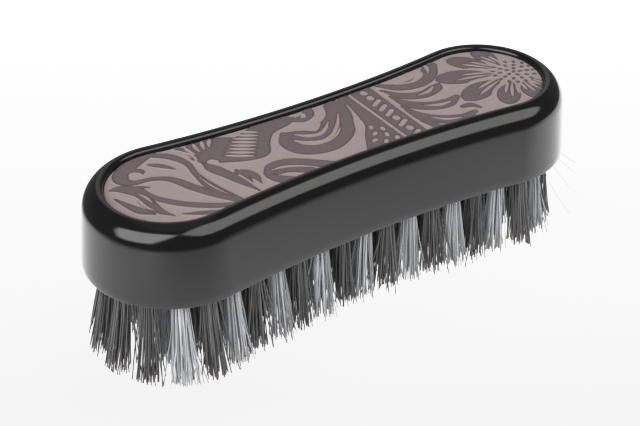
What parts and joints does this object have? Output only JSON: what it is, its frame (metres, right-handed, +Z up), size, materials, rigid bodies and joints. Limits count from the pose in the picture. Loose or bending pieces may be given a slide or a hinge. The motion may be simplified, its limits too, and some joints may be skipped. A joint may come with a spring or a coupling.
{
  "type": "clothes brush",
  "caption": "Hand-held clothes brush with a waisted gloss plastic handle, a decorated inlay let into its rounded top, and stiff tufts in alternating dark and light rows.",
  "frame": {"origin": "middle of the flat plane of the bristle tips, straight below the middle of the handle", "axes": "+X along the length of the brush, +Y across it, +Z up from the bristle tips to the inlay on top"},
  "size_m": [0.15, 0.0486, 0.0477],
  "materials": {
    "gloss_black": "polished black moulding",
    "inlay": "matte pinkish taupe with raised grey-mauve ornament and fine grain",
    "block_black": "fine matte moulded",
    "adhesive": "dull film",
    "bristle_dark": "dark grey synthetic filament with a soft sheen",
    "bristle_light": "light blue-grey synthetic filament with a soft sheen",
    "screw_steel": "bright zinc-plated",
    "anchor_wire": "drawn flat wire"
  },
  "bodies": {
    "root": {"handle_shell": "gloss_black", "inlay_panel": "inlay", "adhesive_sheet": "adhesive", "bristle_block": "block_black", "cover_screws": "screw_steel", "tuft_row_01": "bristle_dark", "tuft_row_02": "bristle_light", "tuft_row_03": "bristle_dark", "tuft_row_04": "bristle_light", "tuft_row_05": "bristle_dark", "tuft_row_06": "bristle_light", "tuft_row_07": "bristle_dark", "tuft_row_08": "bristle_light", "tuft_row_09": "bristle_dark", "tuft_row_10": "bristle_light", "tuft_row_11": "bristle_dark", "tuft_row_12": "bristle_light", "tuft_row_13": "bristle_dark", "tuft_row_14": "bristle_light", "tuft_row_15": "bristle_dark", "tuft_row_16": "bristle_light", "tuft_row_17": "bristle_dark", "tuft_row_18": "bristle_light", "tuft_row_19": "bristle_dark", "anchor_row_01": "anchor_wire", "anchor_row_02": "anchor_wire", "anchor_row_03": "anchor_wire", "anchor_row_04": "anchor_wire", "anchor_row_05": "anchor_wire", "anchor_row_06": "anchor_wire", "anchor_row_07": "anchor_wire", "anchor_row_08": "anchor_wire", "anchor_row_09": "anchor_wire", "anchor_row_10": "anchor_wire", "anchor_row_11": "anchor_wire", "anchor_row_12": "anchor_wire", "anchor_row_13": "anchor_wire", "anchor_row_14": "anchor_wire", "anchor_row_15": "anchor_wire", "anchor_row_16": "anchor_wire", "anchor_row_17": "anchor_wire", "anchor_row_18": "anchor_wire", "anchor_row_19": "anchor_wire"}
  },
  "joints": []
}
